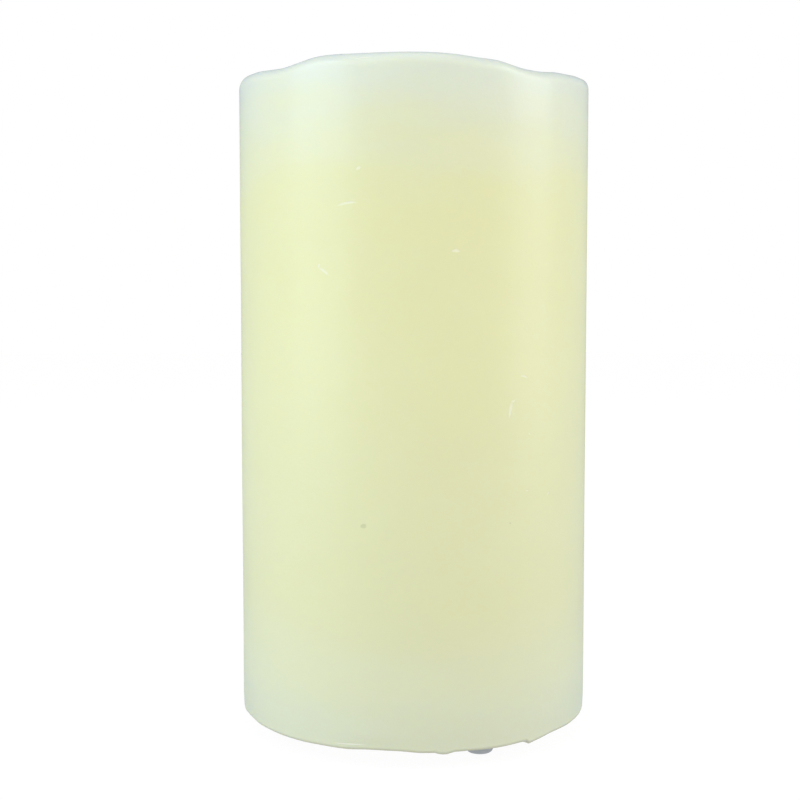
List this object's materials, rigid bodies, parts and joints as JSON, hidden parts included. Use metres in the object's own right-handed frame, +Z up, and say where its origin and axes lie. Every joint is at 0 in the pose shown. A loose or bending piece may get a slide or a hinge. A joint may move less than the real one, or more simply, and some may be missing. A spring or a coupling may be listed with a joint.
{
  "type": "flameless led candle",
  "caption": "Battery-powered LED pillar candle: a real-wax shell with a melted rim over a round base with battery bay, slide switch and feet, and a frosted flame on a stem.",
  "frame": {"origin": "on the surface that the candle stands on, under the centre of the wax pillar", "axes": "+Z up along the pillar, -Y the front, +X to the right, towards the battery door's free end"},
  "size_m": [0.08, 0.08, 0.1497],
  "materials": {
    "ivory_wax": "cast paraffin wax, satin, slightly translucent, hand-melted rim",
    "white_plastic": "fine moulded texture",
    "frosted_plastic": "frosted, translucent",
    "grey_rubber": "matt, pale grey",
    "nickel": "bright nickel plating",
    "zinc_steel": "zinc plated",
    "cell_sleeve": null,
    "board_green": "solder resist",
    "black_resin": "moulded",
    "resistor_tan": "lacquered, colour bands",
    "amber_epoxy": "clear tinted epoxy",
    "red_pvc": "extruded insulation",
    "black_pvc": "extruded insulation"
  },
  "bodies": {
    "candle": {"base_housing": "white_plastic", "battery_1": "cell_sleeve", "battery_2": "cell_sleeve", "battery_3": "cell_sleeve", "battery_wire_black": "black_pvc", "battery_wire_red": "red_pvc", "bridge_contact_left": "nickel", "bridge_contact_right": "nickel", "circuit_board": "board_green", "contact_spring_1": "nickel", "contact_spring_2": "nickel", "contact_spring_3": "nickel", "flame_diffuser": "frosted_plastic", "flicker_chip": "black_resin", "foot_1": "grey_rubber", "foot_2": "grey_rubber", "foot_3": "grey_rubber", "foot_4": "grey_rubber", "inner_housing": "white_plastic", "lamp_stem": "white_plastic", "led_lamp": "amber_epoxy", "led_lead_black": "nickel", "led_lead_red": "nickel", "led_resistor": "resistor_tan", "led_socket": "white_plastic", "led_wire_black": "black_pvc", "led_wire_red": "red_pvc", "negative_terminal": "nickel", "positive_terminal": "nickel", "screw_1": "zinc_steel", "screw_2": "zinc_steel", "screw_3": "zinc_steel", "screw_4": "zinc_steel", "shrink_sleeve_black": "black_resin", "shrink_sleeve_red": "black_resin", "switch_case": "zinc_steel", "timer_crystal": "nickel", "wax_shell": "ivory_wax"},
    "battery_door": {"battery_door": "white_plastic"},
    "switch_slider": {"switch_slider": "black_resin"}
  },
  "joints": [
    {"name": "battery_door_hinge", "type": "hinge", "parent": "candle", "child": "battery_door", "pos_m": [-0.0234, 0, 0.0065], "axis": [0, 1, 0], "range_deg": [0, 95]},
    {"name": "switch_slide", "type": "slide", "parent": "candle", "child": "switch_slider", "axis": [1, 0, 0], "range_m": [0, 0.0036]}
  ]
}
